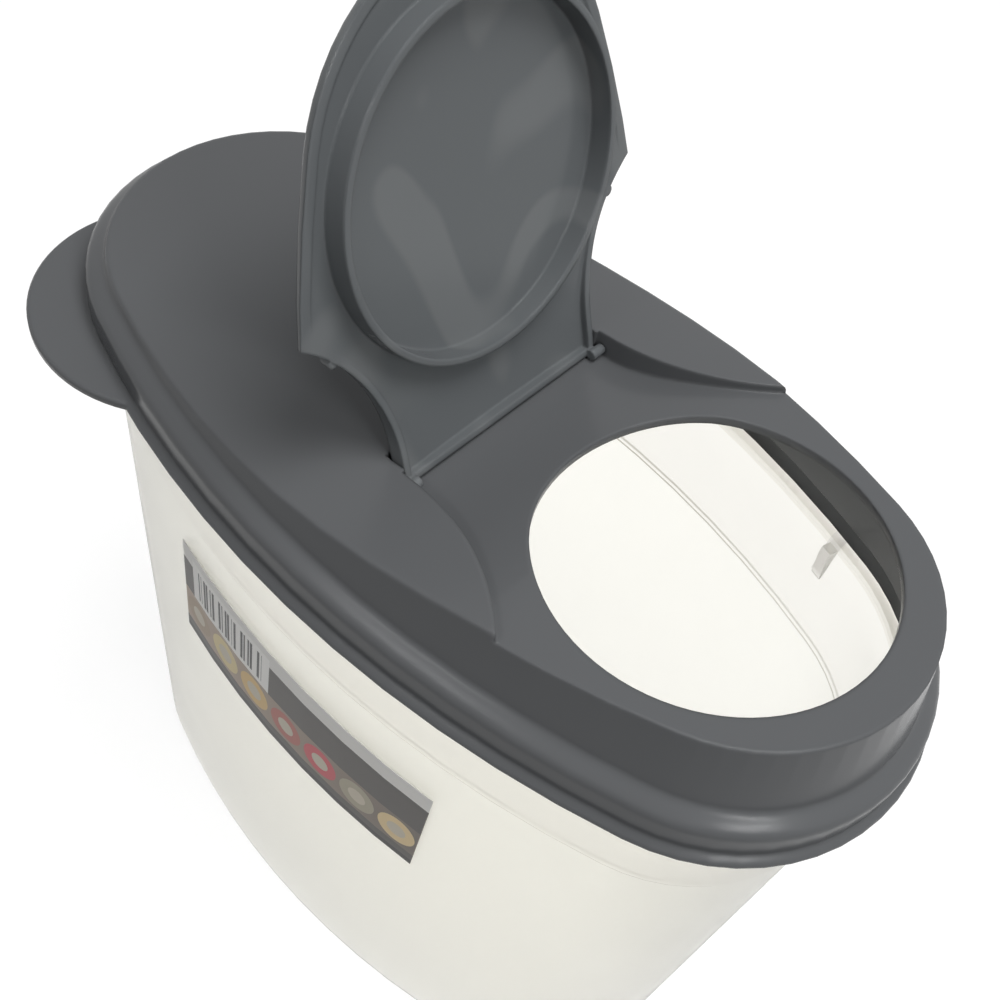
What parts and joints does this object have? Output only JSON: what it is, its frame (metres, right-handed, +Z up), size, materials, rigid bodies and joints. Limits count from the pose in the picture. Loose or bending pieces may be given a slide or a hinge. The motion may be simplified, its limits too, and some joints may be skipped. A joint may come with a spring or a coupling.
{
  "type": "cereal container with flip spout",
  "caption": "Oval food container with a translucent tub, a press-on grey lid with a round pour hole, and a hinged cap that flips up and plugs the hole when closed.",
  "frame": {"origin": "middle of the tub's underside, on the plane the tub stands on", "axes": "+X along the container towards the pour spout, +Y across it away from the labelled side, +Z up"},
  "size_m": [0.198, 0.104, 0.2795],
  "materials": {
    "clear_tub": "milky translucent, soft satin",
    "grey_lid": "satin moulded grey",
    "grey_cap": "satin moulded grey, polished underside",
    "label_print": "printed film seen through a glossy face"
  },
  "bodies": {
    "tub": {"tub": "clear_tub", "label": "label_print"},
    "lid": {"lid": "grey_lid"},
    "flip_cap": {"flip_cap": "grey_cap"}
  },
  "joints": [
    {"name": "lid_lift", "type": "slide", "parent": "tub", "child": "lid", "axis": [0, 0, 1], "range_m": [0, 0.06]},
    {"name": "flip_hinge", "type": "hinge", "parent": "lid", "child": "flip_cap", "pos_m": [0.0028, 0, 0.19693], "axis": [0, 1, 0], "range_deg": [0, 102]}
  ]
}
